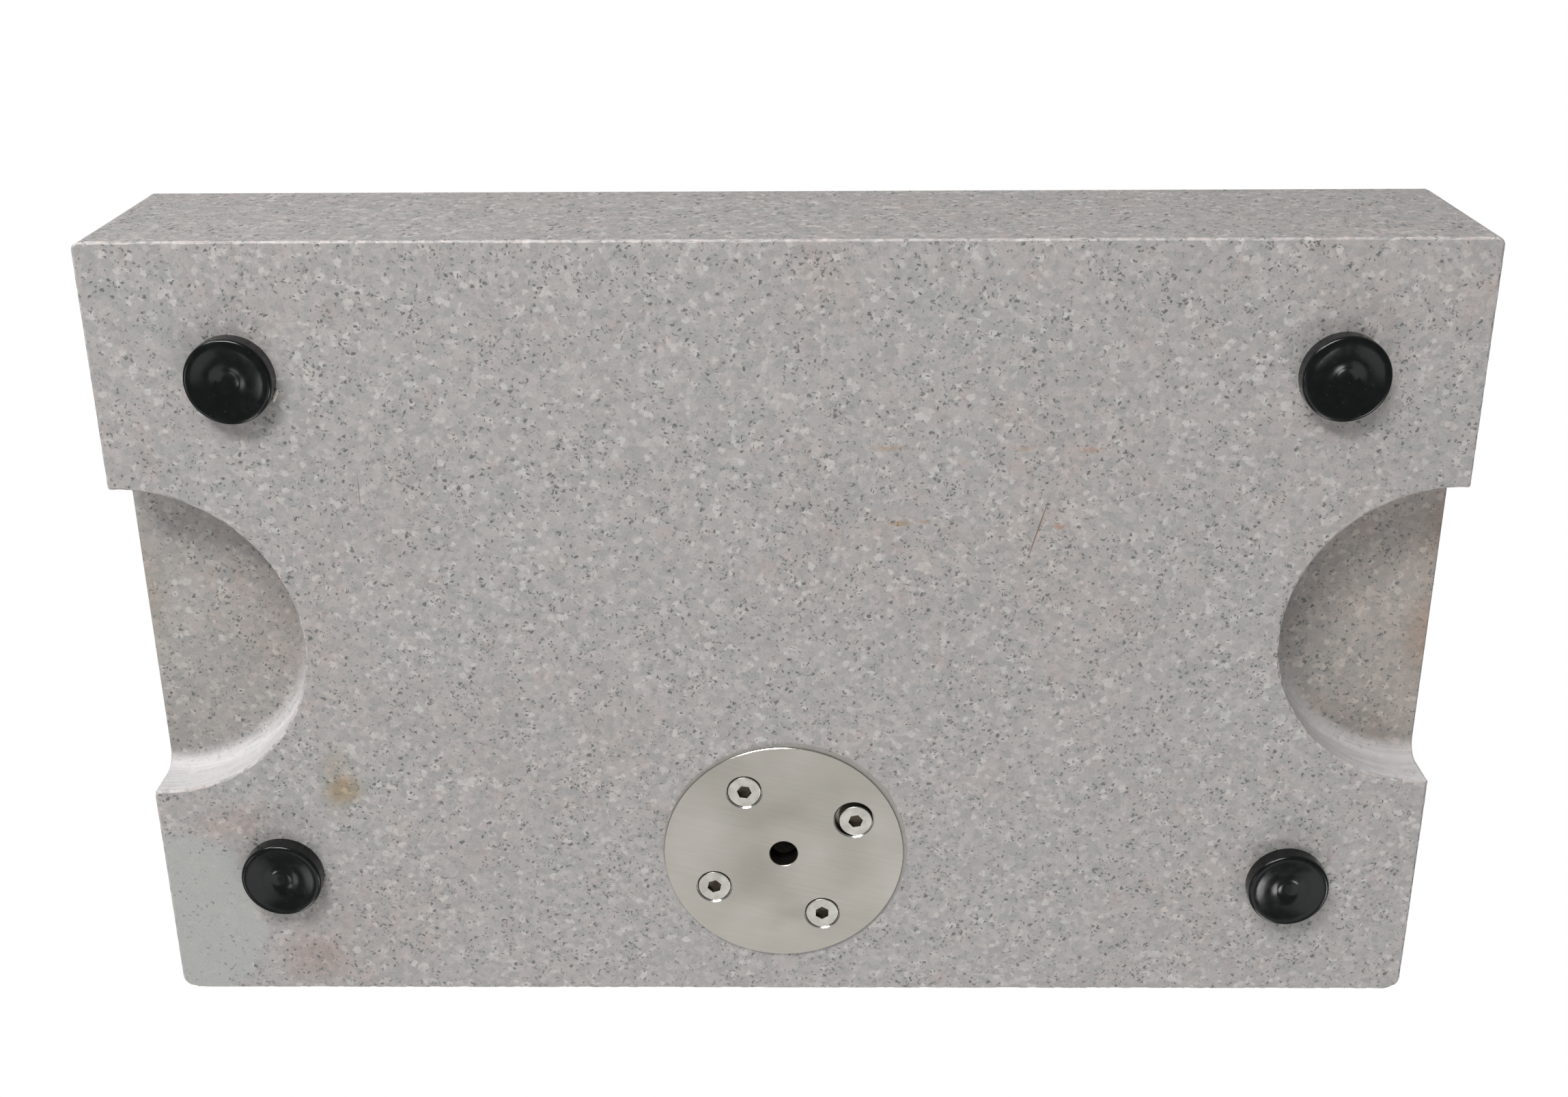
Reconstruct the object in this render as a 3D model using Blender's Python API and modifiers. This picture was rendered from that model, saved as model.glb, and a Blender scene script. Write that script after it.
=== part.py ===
"""Granite slab for leatherwork: a flat stone working surface that stands on four rubber feet.

Each short end has a finger pocket cut from below, so that the slab can be lifted off a bench. A round
steel plate is let into the underside near the rear edge. Four low-head socket screws hold it, in
threaded inserts that are bonded into the stone, and a bolt hole runs through its centre and up through
the slab.

Metres, +Z up through the working face, +X along the slab's length, +Y towards the plate. The origin is
the centre of the surface that the feet stand on.
"""

import math

import bmesh
import bpy

# Slab
SLAB_LENGTH = 0.3048
SLAB_DEPTH = 0.1905
SLAB_THICKNESS = 0.0508
FRONT_CORNER_RADIUS = 0.0020
REAR_CORNER_RADIUS = 0.0035
ARRIS_WIDTH = 0.0010

# Finger pockets: round cuts from below, centred just inside the end faces. The right one is a little
# smaller.
POCKET_DEPTH = 0.0140
POCKET_END_INSET = 0.0016
LEFT_POCKET_RADIUS = 0.0387
RIGHT_POCKET_RADIUS = 0.0372
RIGHT_POCKET_SHIFT_Y = -0.0015

# Feet: the insets run from the slab's faces to each foot's centre.
FOOT_DIAMETER = 0.0194
FOOT_HEIGHT = 0.0040
FOOT_END_INSET = 0.0312
FOOT_FRONT_INSET = 0.0302
FOOT_REAR_INSET = 0.0312
FOOT_RIM_ROUNDING = 0.0008
FOOT_RIM_FLAT = 0.0006
FOOT_DISH_DEPTH = 0.0006
FOOT_DIMPLE_DIAMETER = 0.0056
FOOT_DIMPLE_DEPTH = 0.0005
FOOT_DRAFT = 0.0002
# The rear left foot was stuck on a little out of line.
REAR_LEFT_FOOT_DRIFT = (-0.0021, -0.0026)

# Adhesive disc in the back of each foot
PAD_DIAMETER = 0.0160
PAD_THICKNESS = 0.0005

# Plate
PLATE_DIAMETER = 0.0580
PLATE_THICKNESS = 0.0060
PLATE_PROUD = 0.0006
PLATE_CENTRE_X = -0.0011
PLATE_REAR_INSET = 0.0397
PLATE_EDGE_CHAMFER = 0.0002
BOLT_HOLE_DIAMETER = 0.0068
BOLT_HOLE_IN_STONE = 0.0080

# Screws: No. 10 low-head, with a 1/8 in socket
SCREW_RIM_INSET = 0.0096
FIRST_SCREW_ANGLE = math.radians(61.2)
SCREW_COUNT = 4
HEAD_DIAMETER = 0.0079
HEAD_HEIGHT = 0.0025
HEAD_CHAMFER = 0.00025
HEAD_BELOW_FACE = 0.0001
SOCKET_ACROSS_FLATS = 0.0031
SOCKET_DEPTH = 0.0013
SHANK_DIAMETER = 0.0048
SHANK_LENGTH = 0.0140
SHANK_POINT_CHAMFER = 0.0005
# The way each socket is left turned once its screw is tight
SOCKET_TURNS = tuple(math.radians(turn) for turn in (0, 12, 38, 20))
# One screw stands off the centre of its hole, so that hole is bored wider.
DRIFTED_SCREW = 3
SCREW_DRIFT = (0.00037, 0.00033)

# Inserts and the resin that bonds them
INSERT_DIAMETER = 0.0080
INSERT_LENGTH = 0.0120
INSERT_GROOVE_DEPTH = 0.0005
INSERT_GROOVE_WIDTH = 0.0040
RESIN_WALL = 0.0009
RESIN_FLOOR = 0.0010

# Clearances
FIT_GAP = 0.0003
HEAD_CLEARANCE = 0.00025
SHANK_CLEARANCE = 0.00035
THREAD_CLEARANCE = 0.0003
CUT_OVERRUN = 0.0050

# Facets around a full turn, and along an edge or a curve of a profile
SMALL_STEPS = 24
FOOT_STEPS = 32
PLATE_STEPS = 72
POCKET_STEPS = 72
CORNER_SEGMENTS = 4
ARRIS_SEGMENTS = 2
RIM_SEGMENTS = 3
DISH_SEGMENTS = 4
DIMPLE_SEGMENTS = 2

MERGE_DISTANCE = 0.00001
SMOOTH_ANGLE = math.radians(35)

# Heights that the pieces share
UNDERSIDE_Z = FOOT_HEIGHT
TOP_Z = UNDERSIDE_Z + SLAB_THICKNESS
PLATE_FACE_Z = UNDERSIDE_Z - PLATE_PROUD
PLATE_BACK_Z = PLATE_FACE_Z + PLATE_THICKNESS
RECESS_ROOF_Z = PLATE_BACK_Z + FIT_GAP
HEAD_FACE_Z = PLATE_FACE_Z + HEAD_BELOW_FACE
HEAD_BACK_Z = HEAD_FACE_Z + HEAD_HEIGHT
HEAD_SEAT_Z = HEAD_BACK_Z + FIT_GAP
SHANK_END_Z = HEAD_BACK_Z + SHANK_LENGTH
INSERT_LOW_Z = RECESS_ROOF_Z + FIT_GAP
INSERT_HIGH_Z = INSERT_LOW_Z + INSERT_LENGTH
RESIN_FLOOR_Z = INSERT_HIGH_Z + FIT_GAP
RESIN_HIGH_Z = RESIN_FLOOR_Z + RESIN_FLOOR
INSERT_HOLE_END_Z = RESIN_HIGH_Z + FIT_GAP
FOOT_BACK_Z = UNDERSIDE_Z - FIT_GAP
PAD_LOW_Z = FOOT_BACK_Z - PAD_THICKNESS
PAD_SEAT_Z = PAD_LOW_Z - FIT_GAP

# Radii that the pieces share
RESIN_INNER_RADIUS = INSERT_DIAMETER / 2 + FIT_GAP
RESIN_OUTER_RADIUS = RESIN_INNER_RADIUS + RESIN_WALL
INSERT_HOLE_RADIUS = RESIN_OUTER_RADIUS + FIT_GAP
INSERT_BORE_RADIUS = SHANK_DIAMETER / 2 + THREAD_CLEARANCE
RECESS_RADIUS = PLATE_DIAMETER / 2 + FIT_GAP
PLATE_CENTRE = (PLATE_CENTRE_X, SLAB_DEPTH / 2 - PLATE_REAR_INSET)
SCREW_CIRCLE_RADIUS = PLATE_DIAMETER / 2 - SCREW_RIM_INSET


def clear_scene():
    for leftover in list(bpy.data.objects):
        bpy.data.objects.remove(leftover, do_unlink=True)


def new_collection(name):
    made = bpy.data.collections.new(name)
    bpy.context.scene.collection.children.link(made)
    return made


def new_material(name, colour, roughness, metallic=0.0):
    made = bpy.data.materials.new(name)
    made.use_nodes = True
    shader = made.node_tree.nodes["Principled BSDF"]
    shader.inputs["Base Color"].default_value = (*colour, 1.0)
    shader.inputs["Roughness"].default_value = roughness
    shader.inputs["Metallic"].default_value = metallic
    return made


def new_object(name, mesh, collection, location):
    made = bpy.data.objects.new(name, mesh)
    made.location = location
    collection.objects.link(made)
    return made


def finish(piece, material):
    piece.data.materials.append(material)
    piece.data.shade_smooth()
    piece.data.set_sharp_from_angle(angle=SMOOTH_ANGLE)
    return piece


def profile_mesh(name, points, closed):
    """A profile in the XZ plane. At +X it runs down its outer side, so that a full turn faces out."""
    count = len(points)
    edges = [(index, (index + 1) % count) for index in range(count if closed else count - 1)]
    mesh = bpy.data.meshes.new(name)
    mesh.from_pydata([(radius, 0.0, height) for radius, height in points], edges, [])
    return mesh


def turned(name, points, steps, location, collection, closed=False):
    """A turned piece. A closed profile, clear of the axis, gives a ring or tube."""
    piece = new_object(name, profile_mesh(name, points, closed), collection, (*location, 0.0))
    turn = piece.modifiers.new("turn", "SCREW")
    turn.axis = "Z"
    turn.angle = math.tau
    turn.steps = steps
    turn.render_steps = steps
    turn.use_merge_vertices = True
    turn.merge_threshold = MERGE_DISTANCE
    turn.use_smooth_shade = True
    return piece


def cutter(name, radius, low, high, steps, location, turn=0.0):
    """An upright cylinder for a Boolean cut, or a prism with as many sides as steps."""
    mesh = bpy.data.meshes.new(name)
    shape = bmesh.new()
    bmesh.ops.create_cone(
        shape, cap_ends=True, segments=steps, radius1=radius, radius2=radius, depth=high - low
    )
    shape.to_mesh(mesh)
    shape.free()
    made = new_object(name, mesh, CUTTERS, (*location, (low + high) / 2))
    made.rotation_euler.z = turn
    made.hide_render = True
    made.display_type = "WIRE"
    return made


def cut(piece, tool):
    boolean = piece.modifiers.new(tool.name, "BOOLEAN")
    boolean.operation = "DIFFERENCE"
    boolean.solver = "EXACT"
    boolean.object = tool


def arc(centre_radius, centre_height, radius, start, end, segments):
    """Points on an arc of a profile, from one angle to the other, both included."""
    points = []
    for index in range(segments + 1):
        angle = start + (end - start) * index / segments
        points.append((centre_radius + radius * math.cos(angle), centre_height + radius * math.sin(angle)))
    return points


def screw_places():
    """Centres of the plate's four screw holes."""
    places = []
    for index in range(SCREW_COUNT):
        angle = FIRST_SCREW_ANGLE + math.tau * index / SCREW_COUNT
        places.append(
            (
                PLATE_CENTRE[0] + SCREW_CIRCLE_RADIUS * math.cos(angle),
                PLATE_CENTRE[1] + SCREW_CIRCLE_RADIUS * math.sin(angle),
            )
        )
    return places


def screw_axis(index):
    """Where screw and insert really stand: the drifted one is off the centre of its hole."""
    place = screw_places()[index]
    if index == DRIFTED_SCREW:
        return (place[0] + SCREW_DRIFT[0], place[1] + SCREW_DRIFT[1])
    return place


def foot_places():
    """Centres of the feet, by name."""
    end_x = SLAB_LENGTH / 2 - FOOT_END_INSET
    front_y = -SLAB_DEPTH / 2 + FOOT_FRONT_INSET
    rear_y = SLAB_DEPTH / 2 - FOOT_REAR_INSET
    return {
        "front_left": (-end_x, front_y),
        "front_right": (end_x, front_y),
        "rear_left": (-end_x + REAR_LEFT_FOOT_DRIFT[0], rear_y + REAR_LEFT_FOOT_DRIFT[1]),
        "rear_right": (end_x, rear_y),
    }


def slab_blank():
    """The sawn block, with its upright corners rounded."""
    shape = bmesh.new()
    bmesh.ops.create_cube(shape, size=1.0)
    bmesh.ops.scale(shape, vec=(SLAB_LENGTH, SLAB_DEPTH, SLAB_THICKNESS), verts=shape.verts)
    for side, radius in ((-1, FRONT_CORNER_RADIUS), (1, REAR_CORNER_RADIUS)):
        upright = []
        for edge in shape.edges:
            low, high = sorted(vert.co.z for vert in edge.verts)
            if high - low > SLAB_THICKNESS / 2 and edge.verts[0].co.y * side > 0:
                upright.append(edge)
        bmesh.ops.bevel(
            shape, geom=upright, offset=radius, segments=CORNER_SEGMENTS, profile=0.5, affect="EDGES"
        )
    mesh = bpy.data.meshes.new("granite_slab")
    shape.to_mesh(mesh)
    shape.free()
    return mesh


def cut_pockets(slab):
    pockets = (
        ("left_pocket", -1, LEFT_POCKET_RADIUS, 0.0),
        ("right_pocket", 1, RIGHT_POCKET_RADIUS, RIGHT_POCKET_SHIFT_Y),
    )
    for name, side, radius, shift in pockets:
        centre = (side * (SLAB_LENGTH / 2 - POCKET_END_INSET), shift)
        high = UNDERSIDE_Z + POCKET_DEPTH
        cut(slab, cutter(name, radius, UNDERSIDE_Z - CUT_OVERRUN, high, POCKET_STEPS, centre))


def make_slab():
    slab = new_object("granite_slab", slab_blank(), OBJECT, (0.0, 0.0, UNDERSIDE_Z + SLAB_THICKNESS / 2))
    cut_pockets(slab)
    arris = slab.modifiers.new("arris", "BEVEL")
    arris.width = ARRIS_WIDTH
    arris.segments = ARRIS_SEGMENTS
    arris.limit_method = "ANGLE"
    arris.angle_limit = SMOOTH_ANGLE
    low = UNDERSIDE_Z - CUT_OVERRUN
    cut(slab, cutter("plate_recess", RECESS_RADIUS, low, RECESS_ROOF_Z, PLATE_STEPS, PLATE_CENTRE))
    high = TOP_Z + CUT_OVERRUN
    cut(slab, cutter("bolt_hole", BOLT_HOLE_IN_STONE / 2, low, high, SMALL_STEPS, PLATE_CENTRE))
    for index in range(SCREW_COUNT):
        name = f"insert_hole_{index + 1}"
        place = screw_axis(index)
        cut(slab, cutter(name, INSERT_HOLE_RADIUS, low, INSERT_HOLE_END_Z, SMALL_STEPS, place))
    return finish(slab, GRANITE)


def make_plate():
    outer = PLATE_DIAMETER / 2
    inner = BOLT_HOLE_DIAMETER / 2
    chamfer = PLATE_EDGE_CHAMFER
    profile = [
        (inner, PLATE_BACK_Z),
        (outer, PLATE_BACK_Z),
        (outer, PLATE_FACE_Z + chamfer),
        (outer - chamfer, PLATE_FACE_Z),
        (inner + chamfer, PLATE_FACE_Z),
        (inner, PLATE_FACE_Z + chamfer),
    ]
    plate = turned("clamp_plate", profile, PLATE_STEPS, PLATE_CENTRE, OBJECT, closed=True)
    low = PLATE_FACE_Z - CUT_OVERRUN
    for index, place in enumerate(screw_places()):
        extra = math.hypot(*SCREW_DRIFT) if index == DRIFTED_SCREW else 0.0
        head_radius = HEAD_DIAMETER / 2 + HEAD_CLEARANCE + extra
        shank_radius = SHANK_DIAMETER / 2 + SHANK_CLEARANCE + extra
        high = PLATE_BACK_Z + CUT_OVERRUN
        cut(plate, cutter(f"counterbore_{index + 1}", head_radius, low, HEAD_SEAT_Z, SMALL_STEPS, place))
        cut(plate, cutter(f"shank_hole_{index + 1}", shank_radius, low, high, SMALL_STEPS, place))
    return finish(plate, STAINLESS)


def make_screw(index):
    head = HEAD_DIAMETER / 2
    shank = SHANK_DIAMETER / 2
    profile = [
        (0.0, SHANK_END_Z),
        (shank - SHANK_POINT_CHAMFER, SHANK_END_Z),
        (shank, SHANK_END_Z - SHANK_POINT_CHAMFER),
        (shank, HEAD_BACK_Z),
        (head, HEAD_BACK_Z),
        (head, HEAD_FACE_Z + HEAD_CHAMFER),
        (head - HEAD_CHAMFER, HEAD_FACE_Z),
        (0.0, HEAD_FACE_Z),
    ]
    place = screw_axis(index)
    screw = turned(f"plate_screw_{index + 1}", profile, SMALL_STEPS, place, OBJECT)
    corner_radius = SOCKET_ACROSS_FLATS / 2 / math.cos(math.pi / 6)
    low = HEAD_FACE_Z - CUT_OVERRUN
    high = HEAD_FACE_Z + SOCKET_DEPTH
    socket = cutter(f"socket_{index + 1}", corner_radius, low, high, 6, place, SOCKET_TURNS[index])
    cut(screw, socket)
    return finish(screw, SCREW_STEEL)


def make_insert(index):
    """A threaded bush with a wide groove around its middle, which keys it into the resin."""
    outer = INSERT_DIAMETER / 2
    groove = outer - INSERT_GROOVE_DEPTH
    middle = (INSERT_LOW_Z + INSERT_HIGH_Z) / 2
    profile = [
        (INSERT_BORE_RADIUS, INSERT_HIGH_Z),
        (outer, INSERT_HIGH_Z),
        (outer, middle + INSERT_GROOVE_WIDTH / 2),
        (groove, middle + INSERT_GROOVE_WIDTH / 2),
        (groove, middle - INSERT_GROOVE_WIDTH / 2),
        (outer, middle - INSERT_GROOVE_WIDTH / 2),
        (outer, INSERT_LOW_Z),
        (INSERT_BORE_RADIUS, INSERT_LOW_Z),
    ]
    place = screw_axis(index)
    insert = turned(f"screw_insert_{index + 1}", profile, SMALL_STEPS, place, OBJECT, closed=True)
    return finish(insert, BRASS)


def make_resin(index):
    profile = [
        (0.0, RESIN_HIGH_Z),
        (RESIN_OUTER_RADIUS, RESIN_HIGH_Z),
        (RESIN_OUTER_RADIUS, INSERT_LOW_Z),
        (RESIN_INNER_RADIUS, INSERT_LOW_Z),
        (RESIN_INNER_RADIUS, RESIN_FLOOR_Z),
        (0.0, RESIN_FLOOR_Z),
    ]
    resin = turned(f"insert_resin_{index + 1}", profile, SMALL_STEPS, screw_axis(index), OBJECT)
    return finish(resin, RESIN)


def make_foot(name, place):
    """A moulded foot: rounded rim, dished face with a dimple, and a seat in its back for the disc."""
    outer = FOOT_DIAMETER / 2
    seat = PAD_DIAMETER / 2 + FIT_GAP
    flat_outer = outer - FOOT_DRAFT - FOOT_RIM_ROUNDING
    flat_inner = flat_outer - FOOT_RIM_FLAT
    dimple = FOOT_DIMPLE_DIAMETER / 2
    rim = arc(flat_outer, FOOT_RIM_ROUNDING, FOOT_RIM_ROUNDING, 0.0, -math.pi / 2, RIM_SEGMENTS)
    profile = [
        (0.0, PAD_SEAT_Z),
        (seat, PAD_SEAT_Z),
        (seat, FOOT_BACK_Z),
        (outer, FOOT_BACK_Z),
        *rim,
    ]
    for index in range(DISH_SEGMENTS + 1):
        share = index / DISH_SEGMENTS
        radius = flat_inner + (dimple - flat_inner) * share
        profile.append((radius, FOOT_DISH_DEPTH * math.sin(share * math.pi / 2)))
    for index in range(1, DIMPLE_SEGMENTS):
        turn = math.pi / 2 * index / DIMPLE_SEGMENTS
        profile.append((dimple * math.cos(turn), FOOT_DISH_DEPTH + FOOT_DIMPLE_DEPTH * math.sin(turn)))
    profile.append((0.0, FOOT_DISH_DEPTH + FOOT_DIMPLE_DEPTH))
    return finish(turned(f"foot_{name}", profile, FOOT_STEPS, place, OBJECT), RUBBER)


def make_pad(name, place):
    profile = [
        (0.0, FOOT_BACK_Z),
        (PAD_DIAMETER / 2, FOOT_BACK_Z),
        (PAD_DIAMETER / 2, PAD_LOW_Z),
        (0.0, PAD_LOW_Z),
    ]
    return finish(turned(f"foot_pad_{name}", profile, SMALL_STEPS, place, OBJECT), ADHESIVE)


clear_scene()
OBJECT = new_collection("leatherwork_granite_slab")
CUTTERS = new_collection("cutters")

GRANITE = new_material("pale pink-grey granite", (0.48, 0.45, 0.43), 0.45)
STAINLESS = new_material("stainless steel, fine ground", (0.45, 0.43, 0.40), 0.35, 1.0)
SCREW_STEEL = new_material("stainless screw steel", (0.58, 0.57, 0.55), 0.25, 1.0)
BRASS = new_material("turned brass", (0.70, 0.48, 0.20), 0.35, 1.0)
RESIN = new_material("cast epoxy resin", (0.62, 0.55, 0.38), 0.40)
RUBBER = new_material("black moulded rubber", (0.012, 0.013, 0.013), 0.35)
ADHESIVE = new_material("acrylic adhesive", (0.75, 0.74, 0.70), 0.60)

make_slab()
make_plate()
for number in range(SCREW_COUNT):
    make_screw(number)
    make_insert(number)
    make_resin(number)
for foot_name, foot_place in foot_places().items():
    make_foot(foot_name, foot_place)
    make_pad(foot_name, foot_place)
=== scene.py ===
"""Looks of a granite slab for leatherwork: honed stone, a ground steel plate and moulded rubber feet.

Metres, +Z up through the working face, +X along the slab, +Y towards the plate. The sizes and places of
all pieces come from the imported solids. Where a shape can't be read from a solid's box, such as the round
of a finger pocket, its value is the part's own.
"""

import math

import bmesh
import bpy
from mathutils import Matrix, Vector


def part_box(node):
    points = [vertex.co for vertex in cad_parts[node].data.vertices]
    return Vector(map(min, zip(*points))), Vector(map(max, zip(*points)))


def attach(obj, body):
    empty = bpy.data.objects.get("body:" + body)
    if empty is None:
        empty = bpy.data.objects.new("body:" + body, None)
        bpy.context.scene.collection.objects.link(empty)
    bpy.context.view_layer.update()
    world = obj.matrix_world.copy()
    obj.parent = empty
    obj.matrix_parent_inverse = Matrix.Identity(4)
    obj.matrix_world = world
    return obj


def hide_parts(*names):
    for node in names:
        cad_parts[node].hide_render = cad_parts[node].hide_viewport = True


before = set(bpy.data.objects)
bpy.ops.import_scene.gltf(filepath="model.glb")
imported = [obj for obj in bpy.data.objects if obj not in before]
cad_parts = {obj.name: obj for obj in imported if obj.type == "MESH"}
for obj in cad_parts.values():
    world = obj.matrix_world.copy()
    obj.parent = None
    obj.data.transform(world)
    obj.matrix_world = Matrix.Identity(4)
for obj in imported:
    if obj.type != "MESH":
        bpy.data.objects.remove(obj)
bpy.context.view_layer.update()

MM = 0.001

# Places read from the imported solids
SLAB_LOW, SLAB_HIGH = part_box("granite_slab")
PLATE_LOW, PLATE_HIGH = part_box("clamp_plate")
PLATE_CENTRE = (PLATE_LOW + PLATE_HIGH) / 2
PLATE_RADIUS = (PLATE_HIGH.x - PLATE_LOW.x) / 2

# Slab
FRONT_CORNER_RADIUS = 2.0 * MM
REAR_CORNER_RADIUS = 3.5 * MM
ARRIS_WIDTH = 1.3 * MM
POCKET_ROOF_Z = SLAB_LOW.z + 14.0 * MM
POCKET_END_INSET = 1.6 * MM
LEFT_POCKET_RADIUS = 38.7 * MM
RIGHT_POCKET_RADIUS = 37.2 * MM
RIGHT_POCKET_SHIFT_Y = -1.5 * MM
POCKET_FILLET = 4.0 * MM
# The stone closes round the plate more tightly than the solid's clearance.
RECESS_GAP = 0.04 * MM
RECESS_ROOF_Z = PLATE_HIGH.z + 0.3 * MM
CORNER_SEGMENTS = 8
ARRIS_SEGMENTS = 4
POCKET_FILLET_SEGMENTS = 10
LONGEST_ARRIS_STEP = 1.5 * MM
CHIP_SIZE = 1.6 * MM
CHIP_DEPTH = 0.5 * MM
# The share of an arris that is chipped, and how abruptly a chip begins
CHIP_INTENSITY = 0.45
CHIP_CONTRAST = 4.0
BOLT_HOLE_IN_STONE_RADIUS = 4.0 * MM
INSERT_HOLE_RADIUS = 5.5 * MM
INSERT_HOLE_END_Z = 23.6 * MM
CUT_OVERRUN = 5.0 * MM

# Plate
PLATE_EDGE_CHAMFER = 0.12 * MM
COUNTERBORE_CHAMFER = 0.3 * MM
BOLT_HOLE_RADIUS = 3.4 * MM
SCREW_CIRCLE_RADIUS = PLATE_RADIUS - 9.6 * MM
FIRST_SCREW_ANGLE = math.radians(61.2)
# From the plate's face to that of a head, and from a head's back to its seat
SEAT_ROOM = 0.4 * MM
# The counterbores close round the heads more tightly than the solids' clearance.
HEAD_CLEARANCE = 0.16 * MM
SHANK_CLEARANCE = 0.35 * MM
# The bore of the screw that drifted is off its mark by this share of the screw's own drift, the other way.
BORE_PULL = 0.25

# Bedding resin round the plate: its outline waves by noise of one size along each axis.
BEDDING_RADIUS = PLATE_RADIUS + 0.55 * MM
BEDDING_SHIFT = 0.4 * MM
BEDDING_LOW_Z = SLAB_LOW.z - 0.08 * MM
BEDDING_HIGH_Z = SLAB_LOW.z - 0.004 * MM
BEDDING_GAP = 0.01 * MM
BEDDING_WAVES = (("X", 2.6 * MM), ("Y", 3.4 * MM))
BEDDING_WAVE_REACH = 0.9 * MM

# Screws
SCREW_COUNT = 4
HEAD_RADIUS = 3.95 * MM
HEAD_HEIGHT = 2.5 * MM
HEAD_CHAMFER = 0.22 * MM
SHANK_RADIUS = 2.4 * MM
THREAD_DEPTH = 0.4 * MM
THREAD_PITCH = 0.8 * MM
NECK_LENGTH = 1.0 * MM
TIP_CHAMFER = 0.5 * MM
SOCKET_RADIUS = 3.1 * MM / 2 / math.cos(math.pi / 6)
SOCKET_DEPTH = 1.3 * MM
SOCKET_POINT = 0.5 * MM
SOCKET_TURNS = tuple(math.radians(turn) for turn in (0, 12, 38, 20))

# Feet
FOOT_LIFT = 0.03 * MM
FOOT_EDGE_ROUND = 0.8 * MM
# Steps across the face from rim to middle, in mm: each goes inwards and then up into the foot.
FOOT_FACE = (
    (0.6, 0.0),
    (0.8, 0.10),
    (1.2, 0.30),
    (1.6, 0.10),
    (1.6, 0.06),
    (0.5, 0.25),
    (0.8, 0.2),
    (0.9, 0.05),
)

# Adhesive that squeezed out beside a foot: half sizes out from the foot, along its edge and up
SMEAR_HALF_SIZES = (0.5 * MM, 1.7 * MM, 0.5 * MM)
SMEAR_ANGLE = math.radians(24)
SMEAR_OUT = 0.3 * MM
SMEAR_LUMP_SIZE = 0.9 * MM
SMEAR_LUMP_HEIGHT = 0.5 * MM

# Sides of round shapes
POCKET_SIDES = 256
BEDDING_SIDES = 240
PLATE_SIDES = 192
FOOT_SIDES = 128
HEAD_SIDES = 96
BOLT_HOLE_SIDES = 64
HOLE_SIDES = 48

# Light: the backdrop is what the camera sees behind the slab, and the room is what lights it.
BACKDROP_STRENGTH = 1.0
ROOM_STRENGTH = 0.20
FLOOR_Z = -1.8
FLOOR_SIZE = 60.0
# Lamps: name, place, diameter and power in watts. All are aimed at the slab's middle.
LAMP_AIM = Vector((0.0, 0.0, 0.02))
LAMPS = (
    ("key", (-0.26, -1.13, -0.75), 0.60, 13.2),
    ("glint", (-0.55, -0.97, -0.68), 0.20, 4.0),
    ("low_front", (-1.00, -1.25, -0.15), 0.50, 8.0),
    ("fill", (0.0, 0.62, -0.95), 0.80, 1.5),
    ("fill_left", (-0.85, 0.75, -0.80), 0.40, 0.9),
    ("fill_right", (0.85, 0.75, -0.80), 0.40, 3.4),
    ("rear", (0.0, 1.30, -0.50), 0.50, 5.0),
    ("window", (-0.97, 0.24, -0.87), 0.35, 1.2),
)
# Soft light from above, for the floor and the working face: name, direction towards it and strength
SKY_LAMPS = (
    ("sky_right", (0.55, 0.35, 1.0), 1.21),
    ("sky_left", (-0.55, 0.20, 1.0), 1.21),
)
SKY_SPREAD = math.radians(20)

# Camera
LENS = 42.54
CAMERA_PLACE = (0.0046, -0.1848, -0.3837)
CAMERA_TURN = tuple(math.radians(turn) for turn in (157.518, -0.618, 0.345))

SHARP_ANGLE = math.radians(40)
# How near to a face a point counts as on it
ON_FACE = 0.01 * MM
ON_WALL = 0.03 * MM

FOOT_NAMES = ("front_left", "front_right", "rear_left", "rear_right")


# Working tools


def deselect_everything():
    if bpy.context.mode != "OBJECT":
        bpy.ops.object.mode_set(mode="OBJECT")
    bpy.ops.object.select_all(action="DESELECT")


def make_active(piece):
    deselect_everything()
    piece.select_set(True)
    bpy.context.view_layer.objects.active = piece


def added(name):
    """The primitive that was just added, named and with its place moved into its mesh."""
    piece = bpy.context.active_object
    piece.name = name
    piece.data.name = name
    bpy.ops.object.transform_apply(location=True, rotation=True, scale=True)
    return piece


def add_box(name, low, high):
    deselect_everything()
    bpy.ops.mesh.primitive_cube_add(size=1.0, location=(low + high) / 2, scale=high - low)
    return added(name)


def add_cylinder(name, radius, low, high, x, y, sides, turn=0.0):
    deselect_everything()
    bpy.ops.mesh.primitive_cylinder_add(
        vertices=sides,
        radius=radius,
        depth=high - low,
        location=(x, y, (low + high) / 2),
        rotation=(0.0, 0.0, turn),
    )
    return added(name)


def select_where(piece, kind, test):
    """Enters edit mode with only the vertices, edges or faces that pass the test selected."""
    make_active(piece)
    bpy.ops.object.mode_set(mode="EDIT")
    bpy.ops.mesh.select_mode(type=kind)
    bpy.ops.mesh.select_all(action="DESELECT")
    shape = bmesh.from_edit_mesh(piece.data)
    parts = {"VERT": shape.verts, "EDGE": shape.edges, "FACE": shape.faces}[kind]
    found = 0
    for part in parts:
        if test(part):
            part.select_set(True)
            found += 1
    shape.select_flush_mode()
    bmesh.update_edit_mesh(piece.data)
    return found


def leave_edit():
    bpy.ops.object.mode_set(mode="OBJECT")


def apply_modifier(piece, kind, **settings):
    make_active(piece)
    modifier = piece.modifiers.new(kind.lower(), kind)
    for name, value in settings.items():
        setattr(modifier, name, value)
    bpy.ops.object.modifier_apply(modifier=modifier.name)


def cut(piece, tool):
    """Cuts the tool's shape out of the piece and takes the tool away."""
    apply_modifier(piece, "BOOLEAN", operation="DIFFERENCE", solver="EXACT", object=tool)
    bpy.data.objects.remove(tool, do_unlink=True)


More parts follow.
